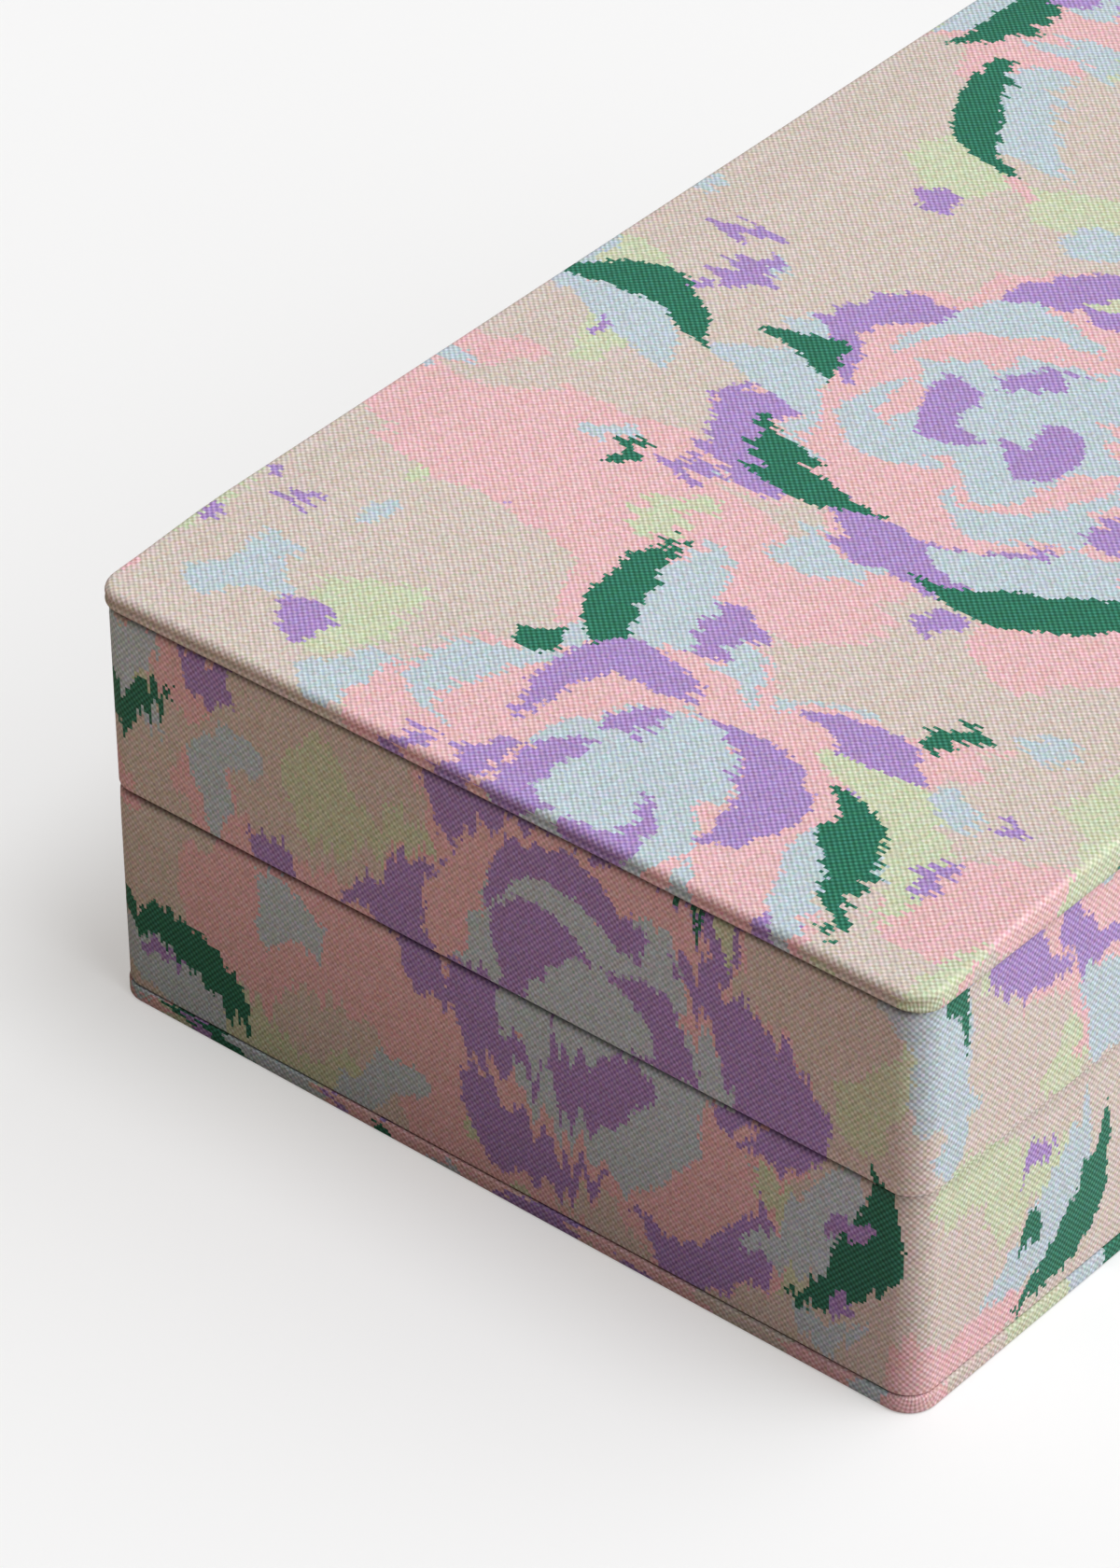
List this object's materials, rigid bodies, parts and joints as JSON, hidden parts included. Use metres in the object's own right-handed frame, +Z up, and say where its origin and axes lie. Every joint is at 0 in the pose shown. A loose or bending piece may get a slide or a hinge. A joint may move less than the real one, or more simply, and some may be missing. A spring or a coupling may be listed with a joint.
{
  "type": "cloth-covered hinged keepsake box",
  "caption": "Low rectangular keepsake box covered in patterned brocade, with a softly padded lid on a cloth hinge along its long back edge and a satin-lined, padded inside.",
  "frame": {"origin": "on the table, under the middle of the closed box", "axes": "+X along the length, +Y towards the hinged back, +Z up"},
  "size_m": [0.16, 0.1, 0.0503],
  "materials": {
    "brocade": "multicolour floral warp-print brocade with a fine twill, silky",
    "satin": "plain champagne satin",
    "hinge_cloth": "plain woven tape, matt",
    "wall_board": "fine fibreboard, bare",
    "grey_board": "grey pressed bookbinding board, bare",
    "wadding": "thin white wadding",
    "foam": "soft open foam",
    "magnet": "nickel-plated magnet",
    "steel": "thin mild steel strip"
  },
  "bodies": {
    "base": {"base_panel_board": "grey_board", "base_panel_cloth": "brocade", "base_wall_cloth": "brocade", "base_front_wall": "wall_board", "base_back_wall": "wall_board", "base_left_wall": "wall_board", "base_right_wall": "wall_board", "base_front_lining_card": "grey_board", "base_front_lining_satin": "satin", "base_back_lining_card": "grey_board", "base_back_lining_satin": "satin", "base_left_lining_card": "grey_board", "base_left_lining_satin": "satin", "base_right_lining_card": "grey_board", "base_right_lining_satin": "satin", "base_pad_card": "grey_board", "base_pad_foam": "foam", "base_pad_cover": "satin", "base_magnets": "magnet", "cloth_hinge": "hinge_cloth"},
    "lid": {"lid_panel_board": "grey_board", "lid_panel_cloth": "brocade", "lid_wall_cloth": "brocade", "lid_panel_wadding": "wadding", "lid_front_wall": "wall_board", "lid_back_wall": "wall_board", "lid_left_wall": "wall_board", "lid_right_wall": "wall_board", "lid_front_lining_card": "grey_board", "lid_front_lining_satin": "satin", "lid_back_lining_card": "grey_board", "lid_back_lining_satin": "satin", "lid_left_lining_card": "grey_board", "lid_left_lining_satin": "satin", "lid_right_lining_card": "grey_board", "lid_right_lining_satin": "satin", "lid_pad_card": "grey_board", "lid_pad_foam": "foam", "lid_pad_cover": "satin", "lid_keepers": "steel"}
  },
  "joints": [
    {"name": "lid_hinge", "type": "hinge", "parent": "base", "child": "lid", "pos_m": [0, 0.0497, 0.0258], "axis": [-1, 0, 0], "range_deg": [0, 175], "deforming": ["cloth_hinge"]}
  ]
}
